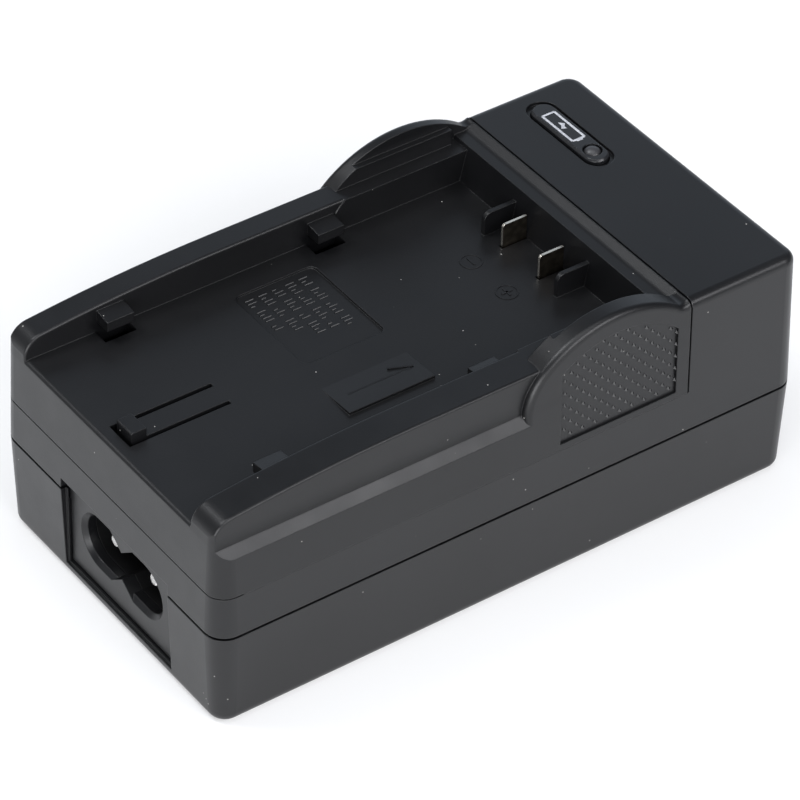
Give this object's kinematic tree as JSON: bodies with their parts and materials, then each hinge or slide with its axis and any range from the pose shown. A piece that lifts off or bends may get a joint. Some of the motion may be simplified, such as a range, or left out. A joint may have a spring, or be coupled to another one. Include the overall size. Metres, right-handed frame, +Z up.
{
  "type": "camera battery charger",
  "caption": "Desktop charger for a camera battery: black drafted case with a sliding battery bay, arched side cheeks, blade contacts, a raised head with a lamp and a figure-8 mains inlet.",
  "frame": {"origin": "on the table, under the middle of the case", "axes": "+X along the case from the mains inlet to the head, +Y across it, +Z up"},
  "size_m": [0.0876, 0.048, 0.037],
  "materials": {
    "lower_plastic": "fine satin moulded black",
    "upper_plastic": "fine satin moulded black",
    "plate_plastic": "fine satin moulded black",
    "contact_metal": "bright plated, dulled faces",
    "spring_bronze": "bare spring bronze",
    "window_plastic": "gloss smoked",
    "lamp_resin": "diffused grey resin",
    "spacer_plastic": "matt",
    "inlet_plastic": "matt moulded black",
    "pin_metal": "bright nickel plate",
    "board_laminate": "paper laminate",
    "ferrite": "ground ferrite",
    "coil_tape": "yellow film tape",
    "can_sleeve": "shrunk sleeve",
    "disc_resin": "dipped blue resin",
    "resistor_paint": "painted",
    "chip_resin": "moulded resin",
    "coupler_resin": "moulded white resin",
    "screw_steel": "blackened steel"
  },
  "bodies": {
    "root": {"lower_case": "lower_plastic", "upper_case": "upper_plastic", "battery_plate": "plate_plastic", "contact_blade_positive": "contact_metal", "contact_blade_negative": "contact_metal", "contact_spring_positive": "spring_bronze", "contact_spring_negative": "spring_bronze", "indicator_window": "window_plastic", "led": "lamp_resin", "led_spacer": "spacer_plastic", "inlet_shroud": "inlet_plastic", "inlet_pin_line": "pin_metal", "inlet_pin_neutral": "pin_metal", "circuit_board": "board_laminate", "transformer_core": "ferrite", "transformer_bobbin": "coil_tape", "input_capacitor": "can_sleeve", "output_capacitor": "can_sleeve", "safety_capacitor": "disc_resin", "fusible_resistor": "resistor_paint", "bridge_rectifier": "chip_resin", "filter_inductor": "ferrite", "controller_chip": "chip_resin", "optocoupler": "coupler_resin", "output_diode": "chip_resin", "case_screws": "screw_steel"}
  },
  "joints": []
}
